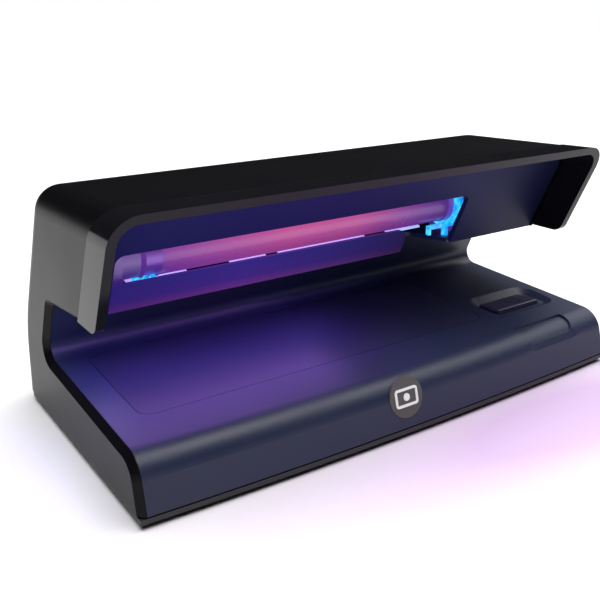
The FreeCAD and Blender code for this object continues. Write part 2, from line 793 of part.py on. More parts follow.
def tube_cap(side):
    """Metal cap; side is -1 on the left, 1 on the right."""
    face = cap_face(side)
    mouth = face - side * CAP_LENGTH
    cup = rod(CAP_R, lamp_point(mouth), lamp_point(face))
    rim = edges_where(cup, lambda p, e: abs(p.x - face) < 1e-3 and e.Length > 5 * CAP_R)
    cup = cup.makeFillet(0.9, rim)
    cup = cup.cut(rod(GLASS_R + 0.02, lamp_point(mouth - side), lamp_point(face - side * 1.2)))
    for dy in (-PIN_PITCH / 2, PIN_PITCH / 2):
        cup = cup.cut(rod(PIN_R + 0.02, lamp_point(face - side * 3, dy), lamp_point(face + side, dy)))
    return cup


def tube_pins():
    pins = []
    for side, face in ((-1, LAMP_X[0]), (1, LAMP_X[1])):
        for dy in (-PIN_PITCH / 2, PIN_PITCH / 2):
            start = lamp_point(face - side * 1.15, dy)
            pin = rod(PIN_R, start, lamp_point(face + side * PIN_LENGTH, dy))
            pins.append(pin)
    return Part.makeCompound(pins)


def rotor(side):
    """Turning contact block that the pins of one end sit in."""
    face = cap_face(side)
    near = face + side * 1.4
    body = rod(ROTOR_R, lamp_point(near), lamp_point(near + side * ROTOR_T))
    for dy in (-PIN_PITCH / 2, PIN_PITCH / 2):
        body = body.cut(rod(PIN_R + 0.03, lamp_point(near - side, dy), lamp_point(face + side * 9, dy)))
    return body


def cap_face(side):
    """x of a cap's outer face; side is -1 on the left, 1 on the right."""
    return LAMP_X[0] if side < 0 else LAMP_X[1]


def span(a, b):
    return (min(a, b), max(a, b))


def holder_screw_sites():
    middle = sum(HOLDER_BLOCK) / 2
    return [(cap_face(side) + side * middle, LAMP_Y + HOLDER_SCREW_Y) for side in (-1, 1)]


def holder_foot_top():
    return floor_top(LAMP_Y + HOLDER_BACK) + HOLDER_FOOT_T


def lamp_holder(side):
    """Upright holder with a round neck towards the tube and a foot screwed to the hood floor."""
    face = cap_face(side)
    neck = face + side * 1.2
    back = face + side * HOLDER_BLOCK[0]
    end = face + side * HOLDER_BLOCK[1]
    x0, x1 = span(back, end)
    low_front = LAMP_Y - 3.0
    front = LAMP_Y - HOLDER_FRONT
    rear = LAMP_Y + HOLDER_BACK
    foot_rear = rear + HOLDER_FOOT
    high = LAMP_Z + 9.5
    outline = [
        (low_front, floor_top(low_front) + 0.05, 0),
        (foot_rear, floor_top(foot_rear) + 0.05, 0),
        (foot_rear, holder_foot_top(), 0.6),
        (rear, holder_foot_top(), 0),
        (rear, high, 3.0),
        (front, high, 3.0),
        (front, LAMP_Z - 6.0, 1.0),
    ]
    body = side_solid(outline, x0, x1)
    body = body.fuse(rod(ROTOR_R + 1.3, lamp_point(neck), lamp_point(back + side)))
    body = body.cut(rod(ROTOR_R + ROTOR_PLAY, lamp_point(neck - side), lamp_point(back)))
    for dz in WIRE_PORTS_Z:
        mouth = lamp_point(end + side, WIRE_PORT_Y, dz)
        body = body.cut(rod(0.95, mouth, mouth - V(side * 4.0, 0, 0)))
    x, y = holder_screw_sites()[0 if side < 0 else 1]
    return body.cut(rod(1.4, V(x, y, 40), V(x, y, 60))).removeSplitter()


def holder_screws():
    screws = []
    top = holder_foot_top() + 0.02
    for x, y in holder_screw_sites():
        head = rod(2.0, V(x, y, top), V(x, y, top + 1.2))
        shank = rod(HOLDER_PILOT_R - 0.05, V(x, y, top - 4.0), V(x, y, top))
        screws.append(head.fuse(shank))
    return Part.makeCompound(screws)


def cap_strap(x0, x1, low, high):
    """Curved strap round the front of a cap, between two angles above the horizontal."""
    inner = CAP_R + CLIP_GAP
    outer = inner + CLIP_T
    middle = (low + high) / 2

    def at(r, angle):
        a = math.radians(angle)
        return V(x0, LAMP_Y - r * math.cos(a), LAMP_Z + r * math.sin(a))

    edges = [
        Part.Arc(at(inner, low), at(inner, middle), at(inner, high)).toShape(),
        Part.LineSegment(at(inner, high), at(outer, high)).toShape(),
        Part.Arc(at(outer, high), at(outer, middle), at(outer, low)).toShape(),
        Part.LineSegment(at(outer, low), at(inner, low)).toShape(),
    ]
    return Part.Face(Part.Wire(edges)).extrude(V(x1 - x0, 0, 0))


def tube_clip(side):
    """Clear spring clip: two straps round the cap, a bar with a catch, and a post to the floor."""
    face = cap_face(side)
    reach = 9.0 if side < 0 else 14.0
    strap_high = CLIP_HIGH_LEFT if side < 0 else CLIP_HIGH_RIGHT
    low = LAMP_Z - CAP_R - CLIP_GAP - CLIP_T
    parts = []
    for back in (-0.4, 2.0):
        x0, x1 = span(face - side * back, face - side * (back + 1.4))
        parts.append(cap_strap(x0, x1, -108.0, strap_high))
    x0, x1 = span(face + side * 1.0, face - side * 3.4)
    parts.append(box(x0, x1, LAMP_Y - 1.2, LAMP_Y + 1.8, low, low + CLIP_T - 0.1))
    x0, x1 = span(face + side * 1.0, face + side * 0.0)
    post = [
        (LAMP_Y - 1.2, floor_top(LAMP_Y - 1.2) + 0.03, 0),
        (LAMP_Y + 1.8, floor_top(LAMP_Y + 1.8) + 0.03, 0),
        (LAMP_Y + 1.8, low + 0.6, 0),
        (LAMP_Y - 1.2, low + 0.6, 0),
    ]
    parts.append(side_solid(post, x0, x1))
    x0, x1 = span(face - side * 0.4, face - side * reach)
    bar_low = low + 0.3
    parts.append(box(x0, x1, LAMP_Y - 5.6, LAMP_Y - 4.0, bar_low, bar_low + 1.5))
    x0, x1 = span(face - side * (reach - 1.4), face - side * reach)
    parts.append(box(x0, x1, LAMP_Y - 5.6, LAMP_Y - 4.0, bar_low - 2.2, bar_low + 0.5))
    return fuse_all(parts)


# ---------------------------------------------------------------- button and switch
def power_button():
    x0, x1 = BUTTON_X
    y0, y1 = BUTTON_Y
    outline = [
        (y0, BUTTON_LOW_Z, 0),
        (y1, BUTTON_LOW_Z, 0),
        (y1, BUTTON_REAR_Z, 0.6),
        (y0, BUTTON_FRONT_Z, 0.7),
    ]
    body = side_solid(outline, x0, x1)
    upright = edges_where(body, lambda p, e: e.BoundBox.ZLength > 3.0 and e.BoundBox.XLength < 0.1)
    body = body.makeFillet(1.0, upright)
    outline = rect(x0 + BUTTON_WALL, x1 - BUTTON_WALL, y0 + BUTTON_WALL, y1 - BUTTON_WALL, 0.6)
    hollow = plan_solid(outline, BUTTON_LOW_Z - 1, BUTTON_ROOF_Z)
    x, y = BUTTON_MID
    post = rod(2.0, V(x, y, BUTTON_LOW_Z), V(x, y, BUTTON_ROOF_Z + 0.6))
    return body.cut(hollow).fuse(post).removeSplitter()


def switch_plunger():
    x, y = BUTTON_MID
    r = PLUNGER_HALF
    return box(x - r, x + r, y - r, y + r, SWITCH_TOP_Z - 2.2, BUTTON_LOW_Z - 0.01)


def switch_body():
    x, y = BUTTON_MID
    r = SWITCH_HALF
    low = BOARD_Z + SWITCH_BOARD_T + 0.05
    body = box(x - r, x + r, y - r, y + r, low, SWITCH_TOP_Z)
    body = body.makeChamfer(0.6, edges_where(body, lambda p, e: e.BoundBox.ZLength > 3))
    well = PLUNGER_HALF + 0.1
    return body.cut(box(x - well, x + well, y - well, y + well, SWITCH_TOP_Z - 3.95, SWITCH_TOP_Z + 1))


def switch_board():
    x, y = BUTTON_MID
    board = box(x - 13.0, x + 13.0, y - 7.0, y + 7.0, BOARD_Z, BOARD_Z + SWITCH_BOARD_T)
    for sx, sy in SWITCH_SITES:
        board = board.cut(rod(1.1, V(sx, sy, 0), V(sx, sy, 20)))
    return board


def button_spring():
    """Coil round the key's post, from the switch up to the roof of the key's hollow."""
    low = SWITCH_TOP_Z + SPRING_WIRE_R + 0.1
    high = BUTTON_ROOF_Z - SPRING_WIRE_R - 0.1
    helix = Part.makeHelix((high - low) / SPRING_TURNS, high - low, SPRING_R)
    circle = Part.Wire(Part.makeCircle(SPRING_WIRE_R, V(SPRING_R, 0, 0), V(0, 1, 0)))
    coil = Part.Wire(helix).makePipeShell([circle], True, True)
    coil.translate(V(BUTTON_MID[0], BUTTON_MID[1], low))
    return coil


# ---------------------------------------------------------------- electronics


def ballast_board():
    board = plan_solid(rect(BOARD_X[0], BOARD_X[1], BOARD_Y[0], BOARD_Y[1], 1.5), BOARD_Z, BOARD_TOP)
    for x, y in BOARD_SITES:
        board = board.cut(rod(1.1, V(x, y, 0), V(x, y, 20)))
    return board


def board_screws():
    sites = [(x, y, BOARD_TOP) for x, y in BOARD_SITES]
    sites += [(x, y, BOARD_Z + SWITCH_BOARD_T) for x, y in SWITCH_SITES]
    screws = []
    for x, y, top in sites:
        head = rod(2.0, V(x, y, top + 0.02), V(x, y, top + 1.4))
        screws.append(head.fuse(rod(0.85, V(x, y, top - 4.2), V(x, y, top + 0.5))))
    return Part.makeCompound(screws)


def ballast_transformer():
    core = box(-20.0, -4.0, 6.0, 22.0, BOARD_TOP + 1.0, BOARD_TOP + 11.5)
    core = core.cut(box(-17.0, -7.0, 0.0, 30.0, BOARD_TOP + 3.4, BOARD_TOP + 9.2))
    return core


def transformer_coil():
    bobbin = box(-16.8, -7.2, 4.0, 24.0, BOARD_TOP + 3.6, BOARD_TOP + 9.0)
    bobbin = bobbin.makeFillet(1.2, edges_where(bobbin, lambda p, e: e.BoundBox.YLength > 10))
    legs = []
    for x in (-16.0, -8.8):
        for y in (4.4, 22.8):
            legs.append(box(x, x + 0.8, y, y + 0.8, BOARD_TOP + 0.02, BOARD_TOP + 4.0))
    return fuse_all([bobbin] + legs)


def ballast_capacitors():
    cans = []
    for x, y, r, h in ((-44.0, 20.0, 4.0, 9.0), (-44.0, 8.0, 4.0, 9.0), (-31.0, 14.0, 3.2, 8.0)):
        can = rod(r, V(x, y, BOARD_TOP + 0.02), V(x, y, BOARD_TOP + h))
        cans.append(can.makeFillet(0.5, edges_where(can, lambda p, e: p.z > BOARD_TOP + 5)))
    for x in (20.0, 28.0):
        film = box(x, x + 5.0, 4.0, 12.0, BOARD_TOP + 0.02, BOARD_TOP + 7.5)
        cans.append(film.makeFillet(0.6, film.Edges))
    return Part.makeCompound(cans)


def ballast_choke():
    core = ring(6.5, 2.6, V(8.0, 14.0, BOARD_TOP + 0.6), V(8.0, 14.0, BOARD_TOP + 6.6))
    return core.makeFillet(1.0, core.Edges)


def heat_sink():
    low, high = BOARD_TOP + 0.02, BOARD_TOP + 10.0
    parts = [box(20.0, 36.0, 18.0, 20.0, low, high)]
    for i in range(5):
        x = 20.0 + 3.6 * i
        parts.append(box(x, x + 1.2, 19.5, 26.0, low, high))
    return fuse_all(parts)


def power_transistors():
    parts = []
    for x in (21.0, 29.5):
        parts.append(box(x, x + 6.0, 15.4, 17.95, BOARD_TOP + 1.5, BOARD_TOP + 9.0))
    return Part.makeCompound(parts)


def power_jack():
    """Round low-voltage inlet in the back wall."""
    body = rod(JACK_R, V(JACK_X, REAR_Y - JACK_DEPTH, JACK_Z), V(JACK_X, REAR_Y - 0.05, JACK_Z))
    collar_y = REAR_Y - WALL - 0.15
    collar = rod(JACK_R + 1.6, V(JACK_X, collar_y - 1.75, JACK_Z), V(JACK_X, collar_y, JACK_Z))
    bore = rod(JACK_BORE_R, V(JACK_X, REAR_Y - JACK_BORE_DEPTH, JACK_Z), V(JACK_X, REAR_Y + 1, JACK_Z))
    return body.fuse(collar).cut(bore)


def jack_pin():
    start = V(JACK_X, REAR_Y - JACK_BORE_DEPTH + 0.02, JACK_Z)
    pin = rod(JACK_PIN_R, start, V(JACK_X, REAR_Y - 1.2, JACK_Z))
    return pin.makeFillet(0.5, edges_where(pin, lambda p, e: p.y > REAR_Y - 1.3))


def lamp_wires(side):
    """From the ballast, up inside the back, to one lamp holder; the upper wire turns first."""
    x_low = -36.0 if side < 0 else 16.0
    x_up = -96.0 if side < 0 else 76.0
    apart = 1.2
    plug_x = cap_face(side) + side * (HOLDER_BLOCK[1] - 0.02)
    wires = []
    for k, dz in zip((-1, 1), WIRE_PORTS_Z):
        x = x_low + apart * k
        upper = -side * k
        turn_x = x_up - side * apart * upper
        points = [
            V(x, BOARD_Y[1] + 0.3, BOARD_TOP - 0.8),
            V(x, 42.0, BOARD_TOP + 2.0),
            V(x, 45.0, 20.0 + apart * upper),
            V(turn_x, 41.0, 34.0 + apart * upper),
            V(turn_x, 25.0, 58.0),
            V(turn_x, LAMP_Y + WIRE_PORT_Y, LAMP_Z + dz),
            V(plug_x, LAMP_Y + WIRE_PORT_Y, LAMP_Z + dz),
        ]
        wires.append(wire_run(points, WIRE_R, 1.9))
    return Part.makeCompound(wires)


def jack_wires():
    wires = []
    for k in (-1, 1):
        points = [
            V(JACK_X + 1.8 * k, REAR_Y - JACK_DEPTH - 0.02, JACK_Z),
            V(JACK_X + 1.8 * k, 36.0, JACK_Z),
            V(56.0 + 1.2 * k, 27.0 - 1.2 * k, BOARD_TOP - 0.8),
            V(BOARD_X[1] + 0.5, 19.0 - 1.2 * k, BOARD_TOP - 0.8),
        ]
        wires.append(wire_run(points, WIRE_R, 2.5))
    return Part.makeCompound(wires)


def switch_wires():
    wires = []
    for k in (-1, 1):
        points = [
            V(BUTTON_MID[0] - 13.02, BUTTON_MID[1] + 3.0 * k, BOARD_Z + 0.6),
            V(58.0 + 1.2 * k, BUTTON_MID[1] + 3.0 * k, BOARD_Z + 0.6),
            V(54.0 + 1.2 * k, 6.0 + 1.2 * k, BOARD_Z + 0.6),
            V(BOARD_X[1] + 0.5, 8.0 + 1.2 * k, BOARD_Z + 0.8),
        ]
        wires.append(wire_run(points, WIRE_R, 2.5))
    return Part.makeCompound(wires)


# ---------------------------------------------------------------- build and export
def main():
    os.makedirs("parts", exist_ok=True)
    pieces = {
        "base_tray": base_tray(),
        "front_cover": front_cover(),
        "document_plate": document_plate(),
        "rear_housing": rear_housing(),
        "hood_bezel": hood_bezel(),
        "lamp_panel": lamp_panel(),
        "lamp_guard": lamp_guard(),
        "hood_floor": hood_floor(),
        "reflector": reflector(),
        "uv_tube": uv_tube(),
        "tube_cap_left": tube_cap(-1),
        "tube_cap_right": tube_cap(1),
        "tube_pins": tube_pins(),
        "lamp_rotor_left": rotor(-1),
        "lamp_rotor_right": rotor(1),
        "lamp_holder_left": lamp_holder(-1),
        "lamp_holder_right": lamp_holder(1),
        "holder_screws": holder_screws(),
        "tube_clip_left": tube_clip(-1),
        "tube_clip_right": tube_clip(1),
        "badge": badge(),
        "badge_mark": badge_mark(),
        "power_button": power_button(),
        "switch_plunger": switch_plunger(),
        "button_spring": button_spring(),
        "switch_body": switch_body(),
        "switch_board": switch_board(),
        "ballast_board": ballast_board(),
        "ballast_transformer": ballast_transformer(),
        "transformer_coil": transformer_coil(),
        "ballast_capacitors": ballast_capacitors(),
        "ballast_choke": ballast_choke(),
        "heat_sink": heat_sink(),
        "power_transistors": power_transistors(),
        "board_screws": board_screws(),
        "power_jack": power_jack(),
        "jack_pin": jack_pin(),
        "lamp_wires_left": lamp_wires(-1),
        "lamp_wires_right": lamp_wires(1),
        "jack_wires": jack_wires(),
        "switch_wires": switch_wires(),
        "housing_screws": housing_screws(),
    }
    for place, (x, y) in FOOT_SITES.items():
        pieces["rubber_foot_" + place] = rubber_foot(x, y)
    for name, shape in pieces.items():
        export(name, shape)
        b = shape.BoundBox
        print("%-20s solids %d valid %s vol %.0f  x %.1f..%.1f y %.1f..%.1f z %.1f..%.1f" % (
            name, len(shape.Solids), shape.isValid(), shape.Volume,
            b.XMin, b.XMax, b.YMin, b.YMax, b.ZMin, b.ZMax))


main()
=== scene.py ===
"""Looks of the counterfeit bill detector: finishes, the key's symbol and spring, light and camera.

Metres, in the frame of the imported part: +X right along the lamp, +Y back, +Z up.
"""
import json
import math

import bmesh
import bpy
from mathutils import Matrix, Vector

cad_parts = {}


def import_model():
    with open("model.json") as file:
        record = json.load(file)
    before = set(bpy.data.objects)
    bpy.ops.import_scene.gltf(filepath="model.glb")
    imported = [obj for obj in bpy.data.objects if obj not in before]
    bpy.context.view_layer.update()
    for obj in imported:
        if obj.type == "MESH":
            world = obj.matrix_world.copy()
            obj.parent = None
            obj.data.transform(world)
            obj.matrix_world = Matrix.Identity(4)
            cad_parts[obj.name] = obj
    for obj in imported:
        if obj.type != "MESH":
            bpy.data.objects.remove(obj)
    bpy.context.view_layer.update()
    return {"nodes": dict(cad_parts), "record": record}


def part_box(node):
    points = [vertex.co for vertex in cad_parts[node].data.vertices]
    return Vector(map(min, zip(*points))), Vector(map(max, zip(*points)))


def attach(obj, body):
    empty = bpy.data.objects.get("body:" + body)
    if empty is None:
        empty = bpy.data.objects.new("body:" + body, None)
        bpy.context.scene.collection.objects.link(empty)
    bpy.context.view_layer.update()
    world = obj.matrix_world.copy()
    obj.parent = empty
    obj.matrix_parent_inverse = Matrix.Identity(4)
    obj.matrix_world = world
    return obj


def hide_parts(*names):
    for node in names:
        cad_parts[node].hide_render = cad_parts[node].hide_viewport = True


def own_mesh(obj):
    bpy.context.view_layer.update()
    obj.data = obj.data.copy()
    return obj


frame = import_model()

NODES = frame["nodes"]
TUBE_LOW, TUBE_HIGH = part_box("uv_tube")
KEY_LOW, KEY_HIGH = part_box("power_button")
PANEL_LOW, PANEL_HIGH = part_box("lamp_panel")
LIP_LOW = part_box("reflector")[0]

# ---------------------------------------------------------------- camera and light
CAMERA_PLACE = (-0.1788, -0.2435, 0.1408)
CAMERA_HEADING = -33.95      # degrees from +Y, positive to the left
CAMERA_PITCH = -14.23
CAMERA_ROLL = -0.32
CAMERA_LENS = 49.52
CAMERA_SHIFT = (0.0043, -0.1333)

VIOLET = (0.45, 0.21, 1.0)
BLUE_VIOLET = (0.42, 0.36, 1.0)
WHITE = (1.0, 1.0, 1.0)
OVERHEAD = 3.9               # strength of the sun lamp overhead
OVERHEAD_SPREAD = 70.0       # degrees
LIGHT_AIM = (0.0, 0.0, 0.045)
SIDE_PLACE = (0.60, -0.05, 0.78)
SIDE_SIZE = (1.00, 0.80)
SIDE_WATTS = 5.0
SPILL_SPREAD = 140.0         # degrees
SPILL_SIDE = -0.035          # from the tube's middle, towards the left
SPILL_SHARE = 0.7            # of the tube's length
SPILL_WIDTH = 0.030
SPILL_WATTS = 0.038
BELOW_TUBE = 0.013           # drop of the spill light under the tube
BAY_DROP = 0.001
BAY_WIDTH = 0.010
BAY_WATTS = 0.004
LEFT_GLOW_OUT = 0.018        # beyond the tube's left end
LEFT_GLOW_DROP = 0.014
LEFT_GLOW_SIZE = 0.024
LEFT_GLOW_WATTS = 0.007
TUBE_SHIFT = 0.004           # of the violet lights, forward or back from the tube's axis
FILL = 0.009                 # strength of the world's even light


# ---------------------------------------------------------------- material helpers
def new_look(name):
    """A node material with its tree and its shader."""
    look = bpy.data.materials.new(name)
    look.use_nodes = True
    shader = next(n for n in look.node_tree.nodes if n.type == "BSDF_PRINCIPLED")
    return look, look.node_tree, shader


def noise(tree, scale, detail=3.0, stretch=(1.0, 1.0, 1.0)):
    """Noise value in the piece's own coordinates."""
    place = tree.nodes.new("ShaderNodeTexCoord")
    mapping = tree.nodes.new("ShaderNodeMapping")
    mapping.inputs["Scale"].default_value = stretch
    texture = tree.nodes.new("ShaderNodeTexNoise")
    texture.inputs["Scale"].default_value = scale
    texture.inputs["Detail"].default_value = detail
    tree.links.new(place.outputs["Object"], mapping.inputs["Vector"])
    tree.links.new(mapping.outputs["Vector"], texture.inputs["Vector"])
    return texture.outputs["Fac"]


def along(tree, axis, start, end):
    """0 at start and 1 at end along one of the piece's own axes."""
    place = tree.nodes.new("ShaderNodeTexCoord")
    split = tree.nodes.new("ShaderNodeSeparateXYZ")
    tree.links.new(place.outputs["Object"], split.inputs["Vector"])
    return rescale(tree, split.outputs[axis], (start, end), (0.0, 1.0))


def rescale(tree, value, source, target):
    node = tree.nodes.new("ShaderNodeMapRange")
    node.inputs["From Min"].default_value = source[0]
    node.inputs["From Max"].default_value = source[1]
    node.inputs["To Min"].default_value = target[0]
    node.inputs["To Max"].default_value = target[1]
    tree.links.new(value, node.inputs["Value"])
    return node.outputs["Result"]


def ramp(tree, value, stops):
    """Colours (place, rgb) blended along a value."""
    node = tree.nodes.new("ShaderNodeValToRGB")
    elements = node.color_ramp.elements
    while len(elements) < len(stops):
        elements.new(0.5)
    for element, (place, colour) in zip(elements, stops):
        element.position = place
        element.color = (*colour, 1.0)
    tree.links.new(value, node.inputs["Fac"])
    return node.outputs["Color"]


def multiply(tree, first, second):
    node = tree.nodes.new("ShaderNodeMix")
    node.data_type = "RGBA"
    node.blend_type = "MULTIPLY"
    node.inputs["Factor"].default_value = 1.0
    tree.links.new(first, node.inputs["A"])
    tree.links.new(second, node.inputs["B"])
    return node.outputs["Result"]


def bump(tree, shader, height, strength, depth):
    node = tree.nodes.new("ShaderNodeBump")
    node.inputs["Strength"].default_value = strength
    node.inputs["Distance"].default_value = depth
    tree.links.new(height, node.inputs["Height"])
    tree.links.new(node.outputs["Normal"], shader.inputs["Normal"])


CLOUD_SCALE = 25.0
PATCH_SCALE = 35.0
GRAIN_DEPTH = 0.00004
STREAK_DEPTH = 0.00002
WEAVE_DEPTH = 0.00003
LIP_RISE = 0.003             # height of the painted cyan glow on the reflector's lip


def moulded(name, dark, light, rough, grain=2600.0, strength=0.2, specular=0.5):
    """Moulded plastic: faint clouding, fine grain, and roughness that wanders."""
    look, tree, shader = new_look(name)
    cloud = noise(tree, CLOUD_SCALE, 2.0)
    shade = ramp(tree, cloud, [(0.2, dark), (0.8, light)])
    tree.links.new(shade, shader.inputs["Base Color"])
    patch = rescale(tree, noise(tree, PATCH_SCALE, 3.0), (0.2, 0.8), rough)
    tree.links.new(patch, shader.inputs["Roughness"])
    shader.inputs["Specular IOR Level"].default_value = specular
    bump(tree, shader, noise(tree, grain, 2.0), strength, GRAIN_DEPTH)
    return look, tree, shader


def metal(name, dark, light, rough, stretch=(1.0, 1.0, 1.0), scale=900.0):
    """Metal with fine streaks, drawn out along the axis whose stretch is below 1."""
    look, tree, shader = new_look(name)
    streak = noise(tree, scale, 4.0, stretch)
    tree.links.new(ramp(tree, streak, [(0.3, dark), (0.7, light)]), shader.inputs["Base Color"])
    tree.links.new(rescale(tree, streak, (0.3, 0.7), rough), shader.inputs["Roughness"])
    shader.inputs["Metallic"].default_value = 1.0
    bump(tree, shader, streak, 0.1, STREAK_DEPTH)
    return look, tree, shader


# Emission: the tube's own light, and painted lamp light on the guard, reflector, cap, clip and holder.
def glow(tree, shader, colour, strength):
    tree.links.new(colour, shader.inputs["Emission Color"])
    shader.inputs["Emission Strength"].default_value = strength


# ---------------------------------------------------------------- finishes, some with painted lamp light
def housing_look():
    return moulded("housing_grain", (0.0024, 0.0022, 0.0034), (0.0036, 0.0033, 0.0048), (0.32, 0.37),
                   strength=0.3, specular=0.12)[0]


def cover_look():
    return moulded("cover_grain", (0.010, 0.015, 0.046), (0.013, 0.019, 0.055), (0.40, 0.48),
                   strength=0.25)[0]


def tray_look():
    return moulded("tray_grain", (0.012, 0.012, 0.015), (0.018, 0.018, 0.022), (0.45, 0.55),
                   strength=0.35)[0]


def plate_look():
    return moulded("plate_satin", (0.012, 0.014, 0.038), (0.015, 0.018, 0.046), (0.34, 0.42),
                   grain=3400.0, strength=0.15)[0]


def band_look():
    return moulded("band_gloss", (0.006, 0.006, 0.008), (0.009, 0.009, 0.012), (0.10, 0.16),
                   grain=300.0, strength=0.02, specular=0.19)[0]


def panel_look():
    """Dark panel with painted violet lamp light: navy beside the lamp and greyer to the right."""
    look, tree, shader = moulded("panel_satin", (0.9, 0.9, 0.9), (1.0, 1.0, 1.0), (0.40, 0.50),
                                 grain=3000.0, strength=0.12)
    # painted lamp light: navy near the lamp, fading to dark grey-navy on the right
    side = ramp(tree, along(tree, "X", PANEL_LOW.x, PANEL_HIGH.x), [
        (0.0, (0.014, 0.014, 0.120)),
        (0.45, (0.018, 0.012, 0.110)),
        (0.70, (0.016, 0.016, 0.085)),
        (0.95, (0.010, 0.012, 0.045)),
    ])
    shader.inputs["Specular IOR Level"].default_value = 0.08
    cloud = shader.inputs["Base Color"].links[0].from_socket
    tree.links.new(multiply(tree, cloud, side), shader.inputs["Base Color"])
    return look


def guard_look():
    """Violet strip with a painted glow of the lamp's light, pinker along its lower edge."""
    look, tree, shader = moulded("guard_violet", (0.007, 0.004, 0.030), (0.009, 0.005, 0.036),
                                 (0.24, 0.32), grain=500.0, strength=0.05)
    low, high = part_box("lamp_guard")
    # painted glow of the lamp's light, pinker at the lower edge
    rise = ramp(tree, along(tree, "Z", low.z, high.z), [
        (0.0, (0.095, 0.018, 0.150)),
        (0.35, (0.036, 0.011, 0.160)),
        (1.0, (0.020, 0.012, 0.165)),
    ])
    # painted glow strength along the strip: strongest left of the middle, weakest at the right end
    painted_glow_along = ramp(tree, along(tree, "X", low.x, high.x), [
        (0.0, (0.60, 0.60, 0.80)),
        (0.4, (1.1, 1.0, 1.1)),
        (0.75, (0.65, 0.85, 0.75)),
        (1.0, (0.30, 0.35, 0.30)),
    ])
    glow(tree, shader, multiply(tree, rise, painted_glow_along), 1.0)
    return look


def reflector_look():
    """White sheet with a painted glow of the lamp's light: cyan on its lower lip, lavender and violet
    above.
    """
    look, tree, shader = moulded("reflector_white", (0.70, 0.68, 0.80), (0.80, 0.78, 0.90),
                                 (0.35, 0.45), strength=0.05)
    painted_lip_glow = ramp(tree, along(tree, "Z", LIP_LOW.z, LIP_LOW.z + LIP_RISE), [
        (0.0, (0.10, 0.75, 1.0)),
        (0.25, (0.45, 0.40, 0.85)),
        (1.0, (0.22, 0.14, 0.50)),
    ])
    glow(tree, shader, painted_lip_glow, 0.8)
    return look


def tube_look():
    """Lit tube: pink in the middle, violet at both ends, brighter on top."""
    look, tree, shader = moulded("tube_phosphor", (0.10, 0.04, 0.10), (0.13, 0.05, 0.13),
                                 (0.22, 0.30), grain=800.0, strength=0.02)
    length = ramp(tree, along(tree, "X", TUBE_LOW.x, TUBE_HIGH.x), [
        (0.0, (0.20, 0.045, 0.34)),
        (0.16, (0.42, 0.075, 0.36)),
        (0.40, (0.66, 0.095, 0.32)),
        (0.62, (0.62, 0.095, 0.33)),
        (0.80, (0.25, 0.050, 0.31)),
        (0.90, (0.11, 0.022, 0.26)),
        (1.0, (0.04, 0.012, 0.20)),
    ])
    height = ramp(tree, along(tree, "Z", TUBE_LOW.z, TUBE_HIGH.z), [
        (0.15, (0.55, 0.60, 0.80)),
        (0.85, (1.05, 1.0, 1.0)),
    ])
    glow(tree, shader, multiply(tree, length, height), 0.80)
    return look


def cap_look():
    # The violet of the metal is painted lamp light, and its emission is a painted violet glow, brighter
    # towards the top.
    look, tree, shader = metal("cap_aluminium", (0.13, 0.08, 0.26), (0.17, 0.11, 0.32), (0.30, 0.40),
                               stretch=(0.1, 1.0, 1.0))
    painted_cap_glow = ramp(tree, along(tree, "Z", TUBE_LOW.z, TUBE_HIGH.z), [
        (0.1, (0.07, 0.02, 0.22)),
        (0.9, (0.17, 0.05, 0.30)),
    ])
    glow(tree, shader, painted_cap_glow, 0.8)
    return look


def clip_look():
    """Clear clip with a painted cyan glow of the lamp's light, patchy by noise."""
    look, tree, shader = moulded("clip_cyan", (0.02, 0.30, 0.60), (0.05, 0.50, 0.80), (0.10, 0.18),
                                 grain=900.0, strength=0.08)
    # painted cyan glow of the lamp's light, patchy by noise
    cloud = ramp(tree, noise(tree, 420.0, 2.0), [
        (0.35, (0.01, 0.22, 0.85)),
        (0.55, (0.02, 0.55, 0.95)),
        (0.70, (0.12, 0.85, 1.00)),
    ])
    glow(tree, shader, cloud, 0.9)
    return look


def badge_look():
    return moulded("badge_satin", (0.068, 0.068, 0.060), (0.084, 0.084, 0.075), (0.38, 0.50),
                   grain=1800.0)[0]


def mark_look():
    return moulded("mark_white", (0.86, 0.86, 0.86), (0.93, 0.93, 0.93), (0.30, 0.40), strength=0.05)[0]


def key_look():
    return moulded("key_satin", (0.026, 0.023, 0.062), (0.032, 0.029, 0.074), (0.30, 0.38),
                   grain=3200.0, strength=0.15)[0]


def symbol_look():
    return moulded("symbol_ink", (0.002, 0.002, 0.003), (0.004, 0.004, 0.005), (0.45, 0.60),
                   strength=0.1)[0]


def holder_look():
    """White plastic with painted lamp light: a violet-grey colour and a violet glow, stronger towards
    the top.
    """
    look, tree, shader = moulded("holder_white", (0.20, 0.16, 0.30), (0.26, 0.21, 0.38), (0.35, 0.45))
    # painted violet glow of the lamp's light, stronger towards the top
    rise = ramp(tree, along(tree, "Z", TUBE_LOW.z, TUBE_HIGH.z), [
        (0.0, (0.045, 0.014, 0.15)),
        (1.0, (0.110, 0.030, 0.23)),
    ])
    glow(tree, shader, rise, 0.8)
    return look


def switch_look():
    return moulded("plunger_white", (0.55, 0.55, 0.50), (0.65, 0.65, 0.60), (0.30, 0.40))[0]


def component_look():
    return moulded("component_black", (0.012, 0.012, 0.012), (0.022, 0.022, 0.022), (0.35, 0.50))[0]


def board_look():
    look, tree, shader = moulded("board_green", (0.010, 0.075, 0.030), (0.014, 0.095, 0.038),
                                 (0.22, 0.32), strength=0.1)
    weave = noise(tree, 900.0, 1.0, (1.0, 6.0, 1.0))
    bump(tree, shader, weave, 0.15, WEAVE_DEPTH)
    return look


def ferrite_look():
    return moulded("ferrite_grey", (0.022, 0.022, 0.024), (0.045, 0.045, 0.048), (0.55, 0.70),
                   grain=1800.0, strength=0.4)[0]


